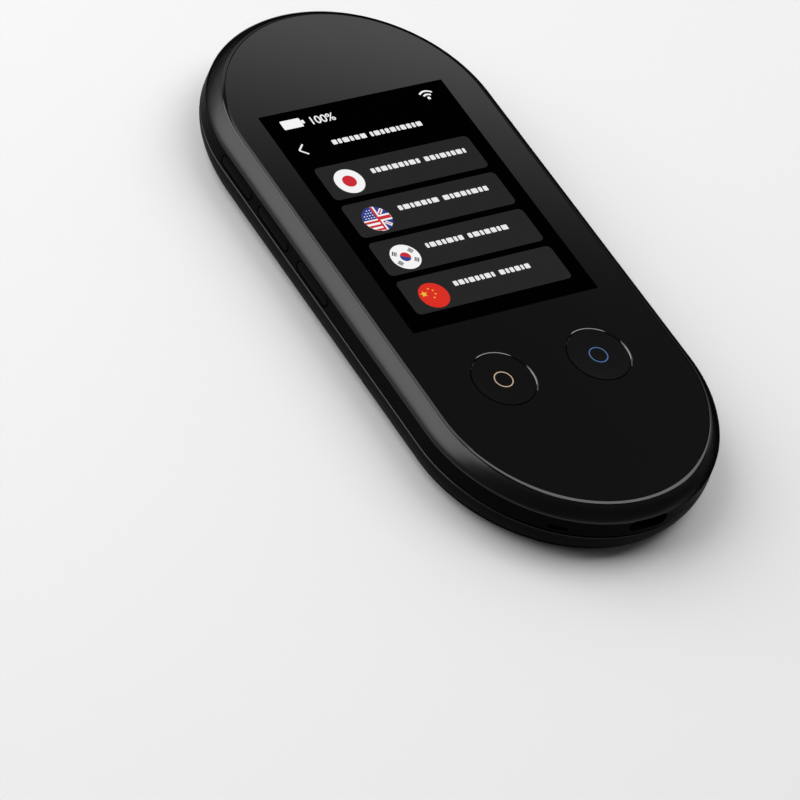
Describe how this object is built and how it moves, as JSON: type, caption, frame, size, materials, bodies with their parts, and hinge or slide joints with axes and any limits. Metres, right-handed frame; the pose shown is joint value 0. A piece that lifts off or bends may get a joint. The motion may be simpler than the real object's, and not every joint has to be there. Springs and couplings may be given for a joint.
{
  "type": "handheld translator",
  "caption": "Slim pill-shaped handheld translator with a glass front, colour screen, round talk buttons, side keys, rear camera and a socket at its lower end.",
  "frame": {"origin": "middle of the outline on the rear panel's outer face, on which the device lies", "axes": "+Z out of the screen, +Y along the length towards the end with the screen, +X to the right as the screen is read"},
  "size_m": [0.062, 0.135, 0.0122],
  "materials": {
    "shell_black": "satin moulded black, fine grain",
    "cover_glass": "black-backed cover glass, glossy",
    "rear_gloss": "black gloss rear plate",
    "button_black": "polished black cap",
    "icon_orange": "orange ring inlay",
    "icon_blue": "blue ring inlay",
    "key_black": "satin black key",
    "rim_polished": "fine polished edge",
    "screen_glass": "dark screen panel",
    "screen_card": "grey panel drawn on the screen",
    "screen_white": "white mark drawn on the screen",
    "screen_red": "red mark drawn on the screen",
    "screen_blue": "blue mark drawn on the screen",
    "screen_yellow": "yellow mark drawn on the screen",
    "flex_amber": "polyimide film",
    "component_black": "moulded black",
    "board_green": "solder mask",
    "chassis_metal": "die-cast, blasted",
    "battery_silver": "foil pouch",
    "sheet_steel": "stamped sheet",
    "spun_metal": "spun ring, fine circular grain",
    "lens_glass": "coated lens cover"
  },
  "bodies": {
    "housing": {"battery_pack": "battery_silver", "board_link_ribbon": "flex_amber", "camera_module": "component_black", "camera_ring": "spun_metal", "camera_window": "lens_glass", "case_screw_1": "sheet_steel", "case_screw_2": "sheet_steel", "case_screw_3": "sheet_steel", "case_screw_4": "sheet_steel", "display_module": "screen_glass", "display_ribbon": "flex_amber", "front_glass": "cover_glass", "front_shell": "shell_black", "inner_chassis": "chassis_metal", "left_button_switch": "component_black", "lower_board": "board_green", "main_board": "board_green", "microphone": "sheet_steel", "power_switch": "component_black", "processor_shield": "sheet_steel", "rear_panel": "rear_gloss", "rear_shell": "shell_black", "right_button_switch": "component_black", "side_key_board": "board_green", "speaker_mesh": "sheet_steel", "speaker_unit": "component_black", "usb_socket": "sheet_steel", "volume_down_switch": "component_black", "volume_up_switch": "component_black", "wifi_antenna": "flex_amber"},
    "left_talk_button": {"left_talk_button": "button_black", "left_button_ring": "icon_orange"},
    "right_talk_button": {"right_talk_button": "button_black", "right_button_ring": "icon_blue"},
    "power_key": {"power_key": "key_black"},
    "volume_up_key": {"volume_up_key": "key_black"},
    "volume_down_key": {"volume_down_key": "key_black"}
  },
  "joints": [
    {"name": "left_talk_press", "type": "slide", "parent": "housing", "child": "left_talk_button", "axis": [0, 0, -1], "range_m": [0, 0.0005], "stiffness_N_per_m": 900},
    {"name": "right_talk_press", "type": "slide", "parent": "housing", "child": "right_talk_button", "axis": [0, 0, -1], "range_m": [0, 0.0005], "stiffness_N_per_m": 900},
    {"name": "power_press", "type": "slide", "parent": "housing", "child": "power_key", "axis": [1, 0, 0], "range_m": [0, 0.0004], "stiffness_N_per_m": 900},
    {"name": "volume_up_press", "type": "slide", "parent": "housing", "child": "volume_up_key", "axis": [1, 0, 0], "range_m": [0, 0.0004], "stiffness_N_per_m": 900},
    {"name": "volume_down_press", "type": "slide", "parent": "housing", "child": "volume_down_key", "axis": [1, 0, 0], "range_m": [0, 0.0004], "stiffness_N_per_m": 900}
  ]
}
